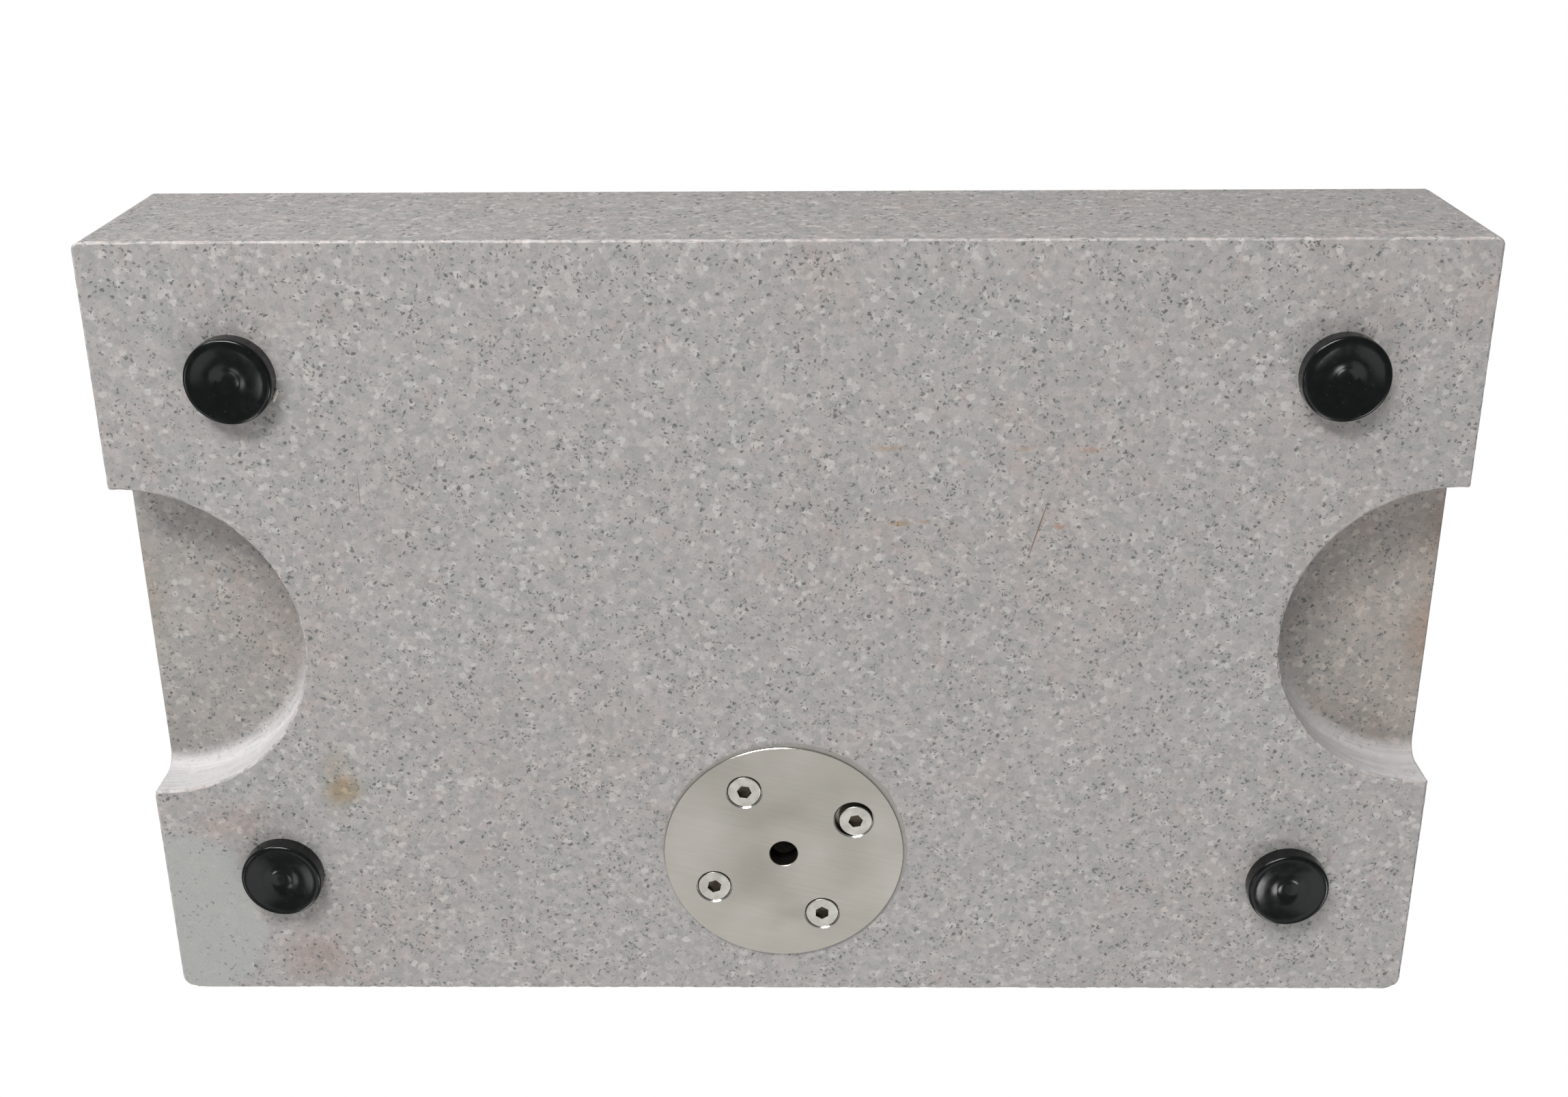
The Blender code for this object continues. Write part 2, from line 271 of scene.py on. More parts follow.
def middle_of(node_name):
    low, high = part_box(node_name)
    return (low + high) / 2


def lies_at(edge, z):
    """True for an edge that lies level at a height."""
    return near(edge.verts[0].co.z, z) and near(edge.verts[1].co.z, z)


def edge_centre(edge):
    return (edge.verts[0].co + edge.verts[1].co) / 2


def near(value, target, room=0.00002):
    return abs(value - target) < room


def flat_distance(point, x, y):
    return math.hypot(point.x - x, point.y - y)


def dress(piece, material):
    """Weights the normals, so that flats stay flat beside rounded edges, and sets the piece's material."""
    make_active(piece)
    bpy.ops.object.shade_smooth_by_angle(angle=SHARP_ANGLE)
    apply_modifier(piece, "WEIGHTED_NORMAL", keep_sharp=True, weight=50)
    piece.data.materials.clear()
    piece.data.materials.append(material)


def paint_faces(piece, material, test):
    """Gives the faces that pass the test another material."""
    piece.data.materials.append(material)
    last = len(piece.data.materials) - 1
    for face in piece.data.polygons:
        if test(face):
            face.material_index = last


def copied(pattern, name, place, turn=0.0):
    """A copy of a pattern with its own mesh, turned about its axis and set in its place."""
    make_active(pattern)
    bpy.ops.object.duplicate(linked=False)
    copy = bpy.context.active_object
    copy.location = place
    copy.rotation_euler.z = turn
    return added(name)


def fit(piece, slot, *nodes):
    """Fixes a finished piece to the body in place of its solids."""
    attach(piece, "root")
    if nodes:
        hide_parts(*nodes)


# Materials


def linear(hex_colour):
    """The linear colour of an sRGB hex value."""
    channels = []
    for start in (0, 2, 4):
        value = int(hex_colour[start : start + 2], 16) / 255
        if value <= 0.04045:
            channels.append(value / 12.92)
        else:
            channels.append(((value + 0.055) / 1.055) ** 2.4)
    return (*channels, 1.0)


def new_material(name):
    """An empty material with its Principled shader joined to the output."""
    material = bpy.data.materials.new(name)
    material.use_nodes = True
    tree = material.node_tree
    return material, tree, tree.nodes["Principled BSDF"]


def add_node(tree, kind, settings=None, links=None, stops=()):
    """Adds a node, sets its properties and sockets, links what feeds it, and fills a colour ramp."""
    made = tree.nodes.new(kind)
    for name, value in (settings or {}).items():
        if isinstance(name, int) or name in made.inputs:
            made.inputs[name].default_value = value
        else:
            setattr(made, name, value)
    for name, source in (links or {}).items():
        tree.links.new(result_of(source), made.inputs[name])
    for index, (position, colour) in enumerate(stops):
        band = made.color_ramp.elements
        stop = band[index] if index < len(band) else band.new(position)
        stop.position = position
        stop.color = linear(colour)
    return made


def result_of(source):
    """A socket as it is, or the first output in use of a node."""
    if isinstance(source, bpy.types.NodeSocket):
        return source
    return next(output for output in source.outputs if output.enabled)


def millimetres(tree):
    """The place on the piece in millimetres, for patterns drawn at their real size."""
    place = add_node(tree, "ShaderNodeTexCoord").outputs["Object"]
    return add_node(tree, "ShaderNodeVectorMath", {"operation": "SCALE", "Scale": 1 / MM}, {0: place})


def noise_at(tree, place, size, detail, roughness=0.5):
    """Noise with lumps of a size."""
    settings = {"Scale": 1 / size, "Detail": detail, "Roughness": roughness}
    return add_node(tree, "ShaderNodeTexNoise", settings, {"Vector": place})


def tones(tree, value, stops):
    """The colours that a value runs through, each with the value it is met at."""
    return add_node(tree, "ShaderNodeValToRGB", {}, {0: value}, stops)


def rescaled(tree, value, low, high, new_low, new_high):
    """A value carried from one range to another and held at its ends."""
    settings = {"From Min": low, "From Max": high, "To Min": new_low, "To Max": new_high}
    return add_node(tree, "ShaderNodeMapRange", settings, {0: value})


def multiplied(tree, base, tint):
    """A colour multiplied by another."""
    settings = {"data_type": "RGBA", "blend_type": "MULTIPLY", 0: 1.0}
    return add_node(tree, "ShaderNodeMix", settings, {6: base, 7: tint})


def coloured(tree, base, share, hex_colour, blend="MIX"):
    """A colour with a share of one fixed colour blended in."""
    settings = {"data_type": "RGBA", "blend_type": blend, 7: linear(hex_colour)}
    return add_node(tree, "ShaderNodeMix", settings, {0: share, 6: base})


def wandering(tree, place, size, reach):
    """Bends a place by noise of that size, up to half that reach either way, so that outlines go crooked."""
    noise = noise_at(tree, place, size, 1.0)
    centred = add_node(
        tree,
        "ShaderNodeVectorMath",
        {"operation": "SUBTRACT", 1: (0.5, 0.5, 0.5)},
        {0: noise.outputs["Color"]},
    )
    return add_node(
        tree,
        "ShaderNodeVectorMath",
        {"operation": "MULTIPLY_ADD", 1: (reach,) * 3},
        {0: centred, 2: place},
    )


def inside_patch(tree, place, patch, core, strength):
    """How strongly a place lies in an egg-shaped patch: full up to the core's share of it, none outside."""
    x, y, z, half_x, half_y, half_z, turn = patch
    held = add_node(
        tree,
        "ShaderNodeMapping",
        {
            "vector_type": "TEXTURE",
            "Location": (x, y, z),
            "Rotation": (0.0, 0.0, math.radians(turn)),
            "Scale": (half_x, half_y, half_z),
        },
        {"Vector": place},
    )
    out = add_node(tree, "ShaderNodeVectorMath", {"operation": "LENGTH"}, {0: held})
    return add_node(
        tree,
        "ShaderNodeMapRange",
        {
            "interpolation_type": "SMOOTHSTEP",
            "From Min": core,
            "From Max": 1.0,
            "To Min": strength,
            "To Max": 0.0,
        },
        {0: out.outputs["Value"]},
    )


# Patches of the stone, in mm: middle x, y, z, half sizes, and turn in degrees
GREY_INCLUSION = (-149.0, 74.0, 4.0, 21.0, 25.0, 16.0, 0.0)
# Each stain or patch of painted shade: its patch, the core's share of it, its strength, and the colour that
# tints the stone
STAINS_AND_PAINTED_SHADE = (
    # Rust from iron in the stone, beside the rear left foot and at the mouths of the pockets
    ((-106.4, 38.3, 4.0, 6.4, 5.2, 4.0, -20.0), 0.3, 0.9, "F3E3C6"),
    ((-108.0, 36.0, 4.0, 6.0, 14.0, 4.0, 8.0), 0.1, 0.6, "F6EBDA"),
    ((153.0, 3.0, 18.0, 9.0, 17.0, 9.0, 4.0), 0.1, 0.75, "EFD9C6"),
    ((153.0, -22.0, 18.0, 7.0, 16.0, 9.0, 0.0), 0.1, 0.6, "F3E4D8"),
    ((-153.0, -8.0, 18.0, 8.0, 22.0, 9.0, 0.0), 0.1, 0.5, "F3E8DC"),
    # Darker, browner floors of the pockets: partly dirt, partly painted shade in these hollows
    ((150.0, 0.0, 18.0, 44.0, 44.0, 5.0, 0.0), 0.7, 1.0, "FBF7F2"),
    ((-150.0, 0.0, 18.0, 44.0, 44.0, 5.0, 0.0), 0.7, 1.0, "FCFAF7"),
    # Orange smears off a saw bench
    ((23.0, -48.4, 4.0, 5.4, 0.9, 1.0, 0.0), 0.2, 0.75, "F4DCC2"),
    ((52.5, -48.3, 4.0, 3.6, 0.7, 1.0, 0.0), 0.2, 0.6, "F4DCC2"),
    ((67.5, -47.9, 4.0, 4.6, 1.0, 1.0, 0.0), 0.2, 0.75, "F3D6C4"),
    ((25.4, -30.4, 4.0, 3.6, 1.0, 1.0, 0.0), 0.2, 0.85, "F4D8B8"),
    ((31.4, -30.8, 4.0, 2.0, 0.9, 1.0, 0.0), 0.2, 0.75, "F4D8B8"),
    ((61.6, -29.6, 4.0, 2.2, 1.1, 1.0, 0.0), 0.2, 0.9, "F2D0BC"),
    # Scratches, one with rust in it
    ((56.6, -28.6, 4.0, 0.22, 10.5, 0.8, 16.1), 0.5, 0.9, "B89884"),
    ((-95.8, -38.2, 4.0, 0.2, 5.6, 0.8, 0.5), 0.4, 0.7, "A8A7A4"),
    # Pink feldspar gathered round the inclusion
    ((-134.0, 47.0, 4.0, 14.0, 7.0, 12.0, -12.0), 0.2, 0.8, "FBF0EC"),
    ((-118.0, 86.0, 4.0, 12.0, 10.0, 12.0, 0.0), 0.2, 0.9, "FBEEEA"),
    ((-122.0, 60.0, 4.0, 8.0, 8.0, 12.0, 0.0), 0.2, 0.7, "FBF0EC"),
)
# Mica flecks: how each kind is turned, the size in mm of the cells it is drawn in, and the share of cells
# it fills. A fleck is about half as long as its cell.
FLECKS = (
    ((0.3, 0.4, 0.5), (1.6, 0.50, 0.8), 0.25),
    ((1.2, 0.2, 1.9), (1.2, 0.45, 0.6), 0.22),
    ((0.7, 1.1, 2.9), (2.6, 0.95, 1.3), 0.19),
)


def granite_minerals(tree, mm, crooked, picked):
    """The colours of the crystals, each picked at random for its crystal."""
    minerals = tones(
        tree,
        picked.outputs["Red"],
        (
            (0.05, "9FA0A0"),
            (0.28, "A6A5A5"),
            (0.50, "ABA9A8"),
            (0.74, "B1ADAC"),
            (0.86, "B6B4B3"),
            (0.97, "C2C1BF"),
        ),
    )
    # Patches where one mineral leads, about 4 mm across, and drifts of tone across the slab
    patches = add_node(
        tree,
        "ShaderNodeTexVoronoi",
        {"feature": "SMOOTH_F1", "Scale": 1 / 4.0, "Smoothness": 0.7},
        {"Vector": crooked},
    )
    patch_pick = add_node(tree, "ShaderNodeSeparateColor", {}, {0: patches.outputs["Color"]})
    patch_tone = tones(
        tree,
        patch_pick.outputs["Green"],
        ((0.05, "F9F9F8"), (0.35, "FCFBFA"), (0.60, "FDFBFA"), (0.85, "FCF9F7"), (1.00, "FDF6F4")),
    )
    toned = multiplied(tree, minerals, patch_tone)
    drifts = noise_at(tree, mm, 45.0, 2.0)
    drift_tone = tones(tree, drifts.outputs["Fac"], ((0.35, "FCFCFB"), (0.50, "FDFCFB"), (0.65, "FEFAF8")))
    return multiplied(tree, toned, drift_tone)


def granite_flecks(tree, mm, ragged, inclusion):
    """How strongly a mica fleck shows. Flecks lie in three directions and are thicker in some places."""
    crowding = noise_at(tree, mm, 6.0, 2.0, 0.6)
    crowd_shift = rescaled(tree, crowding.outputs["Fac"], 0.3, 0.7, 0.12, -0.12)
    # Fewer flecks where the grey inclusion is
    thinned = add_node(
        tree,
        "ShaderNodeMath",
        {"operation": "MULTIPLY_ADD", 1: 0.14},
        {0: inclusion, 2: crowd_shift},
    )
    fleck_strength = None
    for turn, size, share in FLECKS:
        lie = add_node(
            tree,
            "ShaderNodeMapping",
            {"vector_type": "TEXTURE", "Rotation": turn, "Scale": size},
            {"Vector": ragged},
        )
        cells = add_node(tree, "ShaderNodeTexVoronoi", {"feature": "F1", "Scale": 1.0}, {"Vector": lie})
        pick = add_node(tree, "ShaderNodeSeparateColor", {}, {0: cells.outputs["Color"]})
        drawn = add_node(
            tree,
            "ShaderNodeMath",
            {"operation": "ADD"},
            {0: pick.outputs["Blue"], 1: thinned},
        )
        # Of the chosen cells some hold a full dark fleck and others a faint one.
        depth = rescaled(tree, drawn, share, 0.0, 0.0, 1.0)
        body = add_node(
            tree,
            "ShaderNodeMapRange",
            {
                "interpolation_type": "SMOOTHSTEP",
                "From Min": 0.12,
                "From Max": 0.5,
                "To Min": 1.0,
                "To Max": 0.0,
            },
            {0: cells.outputs["Distance"]},
        )
        fleck = add_node(tree, "ShaderNodeMath", {"operation": "MULTIPLY"}, {0: depth, 1: body})
        if fleck_strength is None:
            fleck_strength = fleck
        else:
            fleck_strength = add_node(
                tree,
                "ShaderNodeMath",
                {"operation": "MAXIMUM"},
                {0: fleck_strength, 1: fleck},
            )
    return rescaled(tree, fleck_strength, 0.05, 0.60, 0.0, 1.0)


def granite_tool_marks(tree, mm, picked, stone):
    """The stone with the marks of its making: drilled walls of the pockets, and bruised arrises."""
    # The core drill's fine rings run level round the walls of the pockets. They are drawn 0.5 mm apart.
    ring_place = add_node(
        tree,
        "ShaderNodeMapping",
        {"vector_type": "TEXTURE", "Scale": (14.0, 14.0, 0.5)},
        {"Vector": mm},
    )
    rings = noise_at(tree, ring_place, 1.0, 1.0)
    cored = add_node(tree, "ShaderNodeAttribute", {"attribute_name": "cored"})
    ring_share = rescaled(tree, rings.outputs["Fac"], 0.35, 0.65, 0.50, 0.78)
    dulled = add_node(
        tree,
        "ShaderNodeMath",
        {"operation": "MULTIPLY"},
        {0: cored.outputs["Fac"], 1: ring_share},
    )
    drilled = coloured(tree, stone, dulled, "CFCDCE")

    # Bruised crystals along the arrises come out one by one, white or pink.
    bruise = add_node(tree, "ShaderNodeAttribute", {"attribute_name": "bruise"})
    bead_share = rescaled(tree, picked.outputs["Green"], 0.15, 0.75, 0.04, 0.50)
    whitened = add_node(
        tree,
        "ShaderNodeMath",
        {"operation": "MULTIPLY"},
        {0: bruise.outputs["Fac"], 1: bead_share},
    )
    bead_colour = tones(tree, picked.outputs["Blue"], ((0.25, "D6C4BE"), (0.45, "D0CBC8"), (0.80, "D8D6D4")))
    return add_node(
        tree,
        "ShaderNodeMix",
        {"data_type": "RGBA", "blend_type": "MIX"},
        {0: whitened, 6: drilled, 7: bead_colour},
    )


def make_granite():
    """Honed pink-grey granite: pale feldspar and grey quartz in a tight mosaic, with thin mica flecks.

    Its polish is dull, so the colours read soft and the flecks carry the contrast. Saw and drill leave it
    bruised white along the arrises and dull grey-white on the walls of the pockets.
    """
    material, tree, shader = new_material("honed granite")
    mm = millimetres(tree)
    crooked = wandering(tree, mm, 1.1, 1.3)
    ragged = wandering(tree, crooked, 0.45, 0.7)
    # Outlines of patches wander by millimetres
    drifting = wandering(tree, crooked, 5.0, 7.0)

    # Feldspar and quartz crystals, about 1.4 mm across
    crystals = add_node(
        tree,
        "ShaderNodeTexVoronoi",
        {"feature": "SMOOTH_F1", "Scale": 1 / 1.4, "Smoothness": 0.5},
        {"Vector": crooked},
    )
    picked = add_node(tree, "ShaderNodeSeparateColor", {}, {0: crystals.outputs["Color"]})
    drifted = granite_minerals(tree, mm, crooked, picked)
    inclusion = inside_patch(tree, drifting, GREY_INCLUSION, 0.85, 0.8)
    mixed_in = coloured(tree, drifted, inclusion, "A9ABA7")
    # Sugary grain inside the crystals, drawn at 0.5 mm so that it shows
    sugar = noise_at(tree, mm, 0.5, 2.0, 0.6)
    sugar_tone = tones(tree, sugar.outputs["Fac"], ((0.25, "EAEAEA"), (0.75, "FFFFFF")))
    stone = multiplied(tree, mixed_in, sugar_tone)

    # Stains tint the stone. The two big patches darken the pocket floors, partly as painted shade.
    for patch, core, strength, colour in STAINS_AND_PAINTED_SHADE:
        narrow = min(patch[3], patch[4]) < 0.5
        tinted = inside_patch(tree, mm if narrow else ragged, patch, core, strength)
        stone = coloured(tree, stone, tinted, colour, "MULTIPLY")

    shown = granite_flecks(tree, mm, ragged, inclusion)
    flecked = coloured(tree, stone, shown, "626562")
    surface = granite_tool_marks(tree, mm, picked, flecked)
    # Honing leaves the harder crystals a hair proud.
    relief = add_node(
        tree,
        "ShaderNodeBump",
        {"Strength": 0.15, "Distance": 0.05 * MM},
        {"Height": sugar.outputs["Fac"]},
    )
    tree.links.new(result_of(surface), shader.inputs["Base Color"])
    tree.links.new(result_of(relief), shader.inputs["Normal"])
    shader.inputs["Roughness"].default_value = 0.55
    shader.inputs["IOR"].default_value = 1.54
    return material


# Darker patches round the plate's middle, laid out as the stains are
PLATE_DARK_PATCHES = (
    ((-9.0, 61.0, 4.0, 15.0, 13.0, 9.0, 25.0), 0.1, 0.9, "EDEBE9"),
    ((-2.0, 45.0, 4.0, 10.0, 7.0, 9.0, 0.0), 0.1, 0.7, "F3F1EF"),
    ((3.0, 73.0, 4.0, 14.0, 5.0, 9.0, -8.0), 0.1, 0.8, "EFEDEA"),
)


def make_ground_steel():
    """Surface-ground stainless steel plate: satin and warm grey, with soft clouds where oil has dried.

    The grinding marks run straight. Real ones are 0.02 mm apart, and these are 0.25 mm, so that they show.
    """
    material, tree, shader = new_material("ground stainless steel")
    mm = millimetres(tree)
    drifting = wandering(tree, mm, 8.0, 9.0)
    clouds = noise_at(tree, mm, 20.0, 3.0, 0.4)
    tone = tones(tree, clouds.outputs["Fac"], ((0.30, "A9A59D"), (0.50, "B0ACA4"), (0.68, "B7B3AC")))
    # The plate is made darker in patches round its middle.
    for patch, core, strength, colour in PLATE_DARK_PATCHES:
        darkened = inside_patch(tree, drifting, patch, core, strength)
        tone = coloured(tree, tone, darkened, colour, "MULTIPLY")
    lie = add_node(
        tree,
        "ShaderNodeMapping",
        {"vector_type": "TEXTURE", "Rotation": (0.0, 0.0, 0.25), "Scale": (14.0, 0.25, 1.0)},
        {"Vector": mm},
    )
    marks = noise_at(tree, lie, 1.0, 2.0, 0.6)
    mark_tone = tones(tree, marks.outputs["Fac"], ((0.30, "F6F6F6"), (0.70, "FFFFFF")))
    marked = multiplied(tree, tone, mark_tone)
    gloss = rescaled(tree, clouds.outputs["Fac"], 0.35, 0.65, 0.46, 0.36)
    tree.links.new(result_of(marked), shader.inputs["Base Color"])
    tree.links.new(result_of(gloss), shader.inputs["Roughness"])
    shader.inputs["Metallic"].default_value = 1.0
    return material


def make_buffed_steel():
    """Edges of the steel, eased on a buffing wheel: bright and smooth, so that they catch the light.

    The wheel leaves fine swirls, drawn at 0.6 mm, that vary the gloss.
    """
    material, tree, shader = new_material("buffed stainless steel")
    mm = millimetres(tree)
    swirls = noise_at(tree, mm, 0.6, 2.0)
    tone = tones(tree, swirls.outputs["Fac"], ((0.30, "C4C1BB"), (0.70, "DAD8D4")))
    gloss = rescaled(tree, swirls.outputs["Fac"], 0.35, 0.65, 0.24, 0.14)
    tree.links.new(result_of(tone), shader.inputs["Base Color"])
    tree.links.new(result_of(gloss), shader.inputs["Roughness"])
    shader.inputs["Metallic"].default_value = 1.0
    return material


def make_bore_shade_steel(name, dark, light, roughness):
    """Stainless steel left as the drill cut it: dull, with level feed rings that hold dirt. The dark tones
    it is given paint the shade inside holes and sockets.

    Real rings are about 0.1 mm apart, and these are 0.3 mm, so that they show.
    """
    material, tree, shader = new_material(name)
    mm = millimetres(tree)
    level = add_node(
        tree,
        "ShaderNodeMapping",
        {"vector_type": "TEXTURE", "Scale": (3.0, 3.0, 0.3)},
        {"Vector": mm},
    )
    rings = noise_at(tree, level, 1.0, 2.0, 0.6)
    tone = tones(tree, rings.outputs["Fac"], ((0.35, dark), (0.65, light)))
    relief = add_node(
        tree,
        "ShaderNodeBump",
        {"Strength": 0.2, "Distance": 0.02 * MM},
        {"Height": rings.outputs["Fac"]},
    )
    tree.links.new(result_of(tone), shader.inputs["Base Color"])
    tree.links.new(result_of(relief), shader.inputs["Normal"])
    shader.inputs["Metallic"].default_value = 1.0
    shader.inputs["Roughness"].default_value = roughness
    return material


def make_screw_steel():
    """Stainless steel screws, tumbled after heading: paler and brighter than the plate, with a fine grain.

    The grain's real pits are 0.05 mm, and these are 0.2 mm, so that they show.
    """
    material, tree, shader = new_material("tumbled stainless steel")
    mm = millimetres(tree)
    pits = noise_at(tree, mm, 0.2, 2.0, 0.6)
    dirt = noise_at(tree, mm, 2.2, 3.0)
    tone = tones(tree, dirt.outputs["Fac"], ((0.30, "B4B0A8"), (0.55, "BFBCB5"), (0.75, "C7C4BE")))
    pit_tone = tones(tree, pits.outputs["Fac"], ((0.30, "F2F2F2"), (0.60, "FFFFFF")))
    pitted = multiplied(tree, tone, pit_tone)
    gloss = rescaled(tree, dirt.outputs["Fac"], 0.35, 0.65, 0.40, 0.30)
    tree.links.new(result_of(pitted), shader.inputs["Base Color"])
    tree.links.new(result_of(gloss), shader.inputs["Roughness"])
    shader.inputs["Metallic"].default_value = 1.0
    return material


def make_brass():
    """Turned brass inserts: yellow, browned in clouds by air, with turning rings drawn 0.4 mm apart."""
    material, tree, shader = new_material("turned brass")
    mm = millimetres(tree)
    tarnish = noise_at(tree, mm, 3.0, 3.0, 0.55)
    tone = tones(tree, tarnish.outputs["Fac"], ((0.30, "9A7440"), (0.50, "C29A56"), (0.75, "D0AC66")))
    level = add_node(
        tree,
        "ShaderNodeMapping",
        {"vector_type": "TEXTURE", "Scale": (6.0, 6.0, 0.4)},
        {"Vector": mm},
    )
    rings = noise_at(tree, level, 1.0, 1.0)
    relief = add_node(
        tree,
        "ShaderNodeBump",
        {"Strength": 0.25, "Distance": 0.02 * MM},
        {"Height": rings.outputs["Fac"]},
    )
    tree.links.new(result_of(tone), shader.inputs["Base Color"])
    tree.links.new(result_of(relief), shader.inputs["Normal"])
    shader.inputs["Metallic"].default_value = 1.0
    shader.inputs["Roughness"].default_value = 0.32
    return material


def make_resin(name, dark, light, roughness):
    """Stone bedding resin filled with granite dust: cloudy, smeared and dull, with small trapped bubbles."""
    material, tree, shader = new_material(name)
    mm = millimetres(tree)
    clouds = noise_at(tree, mm, 1.5, 4.0, 0.6)
    tone = tones(tree, clouds.outputs["Fac"], ((0.30, dark), (0.70, light)))
    bubbles = add_node(tree, "ShaderNodeTexVoronoi", {"feature": "F1", "Scale": 1 / 0.7}, {"Vector": mm})
    hollows = rescaled(tree, bubbles.outputs["Distance"], 0.05, 0.20, 0.0, 1.0)
    relief = add_node(
        tree,
        "ShaderNodeBump",
        {"Strength": 0.3, "Distance": 0.03 * MM},
        {"Height": hollows},
    )
    tree.links.new(result_of(tone), shader.inputs["Base Color"])
    tree.links.new(result_of(relief), shader.inputs["Normal"])
    shader.inputs["Roughness"].default_value = roughness
    shader.inputs["IOR"].default_value = 1.55
    return material


def make_rubber():
    """Moulded black rubber: deep black with a soft sheen that dust and handling break up."""
    material, tree, shader = new_material("moulded black rubber")
    mm = millimetres(tree)
    bloom = noise_at(tree, mm, 2.5, 4.0, 0.6)
    tone = tones(tree, bloom.outputs["Fac"], ((0.35, "090B0B"), (0.60, "0C0E0E"), (0.80, "161817")))
    dust = add_node(tree, "ShaderNodeTexVoronoi", {"feature": "F1", "Scale": 1 / 1.6}, {"Vector": mm})
    specks = rescaled(tree, dust.outputs["Distance"], 0.06, 0.11, 0.16, 0.0)
    dusted = coloured(tree, tone, specks, "6B6A66")
    gloss = rescaled(tree, bloom.outputs["Fac"], 0.35, 0.70, 0.15, 0.25)
    grain = noise_at(tree, mm, 0.35, 2.0, 0.6)
    relief = add_node(
        tree,
        "ShaderNodeBump",
        {"Strength": 0.12, "Distance": 0.02 * MM},
        {"Height": grain.outputs["Fac"]},
    )
    tree.links.new(result_of(dusted), shader.inputs["Base Color"])
    tree.links.new(result_of(gloss), shader.inputs["Roughness"])
    tree.links.new(result_of(relief), shader.inputs["Normal"])
    shader.inputs["Specular IOR Level"].default_value = 0.32
    shader.inputs["IOR"].default_value = 1.52
    return material


def make_adhesive():
    """Acrylic foam adhesive: milky, with a faint net of foam cells about 0.5 mm across."""
    material, tree, shader = new_material("acrylic foam adhesive")
    mm = millimetres(tree)
    cells = add_node(tree, "ShaderNodeTexVoronoi", {"feature": "F1", "Scale": 1 / 0.5}, {"Vector": mm})
    tone = tones(tree, cells.outputs["Distance"], ((0.10, "D9D7D0"), (0.60, "C7C4B8"), (0.90, "B5B1A2")))
    relief = add_node(
        tree,
        "ShaderNodeBump",
        {"Strength": 0.2, "Distance": 0.03 * MM},
        {"Height": cells.outputs["Distance"]},
    )
    tree.links.new(result_of(tone), shader.inputs["Base Color"])
    tree.links.new(result_of(relief), shader.inputs["Normal"])
    shader.inputs["Roughness"].default_value = 0.6
    shader.inputs["IOR"].default_value = 1.47
    return material


def make_board():
    """Matt white paper board under the slab: pale and even, with the faint mottle of pressed pulp."""
    material, tree, shader = new_material("matt white board")
    mm = millimetres(tree)
    pulp = noise_at(tree, mm, 6.0, 3.0, 0.6)
    tone = tones(tree, pulp.outputs["Fac"], ((0.30, "E4E4E2"), (0.70, "E9E9E7")))
    tree.links.new(result_of(tone), shader.inputs["Base Color"])
    shader.inputs["Roughness"].default_value = 0.9
    return material


# Pieces


POCKETS = (
    ("left_core", -1, LEFT_POCKET_RADIUS, 0.0),
    ("right_core", 1, RIGHT_POCKET_RADIUS, RIGHT_POCKET_SHIFT_Y),
)


def pocket_centre_x(side):
    return side * (SLAB_HIGH.x - POCKET_END_INSET)


def cut_pocket(slab, name, side, radius, shift):
    """A core drill's pocket: the drill has a rounded lip, which leaves a fillet round the roof."""
    low = SLAB_LOW.z - CUT_OVERRUN
    core = add_cylinder(name, radius, low, POCKET_ROOF_Z, pocket_centre_x(side), shift, POCKET_SIDES)
    select_where(core, "EDGE", lambda edge: lies_at(edge, POCKET_ROOF_Z))
    bpy.ops.mesh.bevel(offset=POCKET_FILLET, segments=POCKET_FILLET_SEGMENTS, profile=0.5)
    leave_edit()
    cut(slab, core)


def runs_along_arris(edge):
    """True for an edge that runs level beside a face of an arris."""
    if abs(edge.verts[0].co.z - edge.verts[1].co.z) > ON_FACE:
        return False
    return any(0.05 < abs(face.normal.z) < 0.99 for face in edge.link_faces)


def chip_arrises(slab):
    """Divides the arrises along their length and dents them, as stone chips along an edge."""
    while select_where(
        slab, "EDGE", lambda edge: edge.calc_length() > LONGEST_ARRIS_STEP and runs_along_arris(edge)
    ):
        bpy.ops.mesh.subdivide(number_cuts=1)
    leave_edit()
    chipped = slab.vertex_groups.new(name="chipped")
    chipped.add([vert.index for vert in slab.data.vertices if is_on_arris(vert.co)], 1.0, "REPLACE")
    chips = bpy.data.textures.new("chips", "CLOUDS")
    chips.noise_scale = CHIP_SIZE
    chips.noise_depth = 1
    chips.intensity = CHIP_INTENSITY
    chips.contrast = CHIP_CONTRAST
    chips.use_clamp = True
    apply_modifier(
        slab,
        "DISPLACE",
        texture=chips,
        texture_coords="LOCAL",
        vertex_group="chipped",
        mid_level=0.0,
        strength=-CHIP_DEPTH,
    )


def from_planes(point):
    """How far a point is from the slab's end, long and level faces, in rising order."""
    return sorted(
        (
            SLAB_HIGH.x - abs(point.x),
            SLAB_HIGH.y - abs(point.y),
            min(point.z - SLAB_LOW.z, SLAB_HIGH.z - point.z),
        )
    )


def is_on_arris(point):
    """True inside an arris, and not on the flat faces or pocket walls at its sides."""
    nearest, second, _ = from_planes(point)
    if ON_FACE < nearest and second < ARRIS_WIDTH - ON_FACE:
        return True
    for _, side, radius, shift in POCKETS:
        out = flat_distance(point, pocket_centre_x(side), shift) - radius
        rise = point.z - SLAB_LOW.z
        if ON_FACE < out < ARRIS_WIDTH - ON_FACE and ON_FACE < rise < ARRIS_WIDTH - ON_FACE:
            return True
    return False


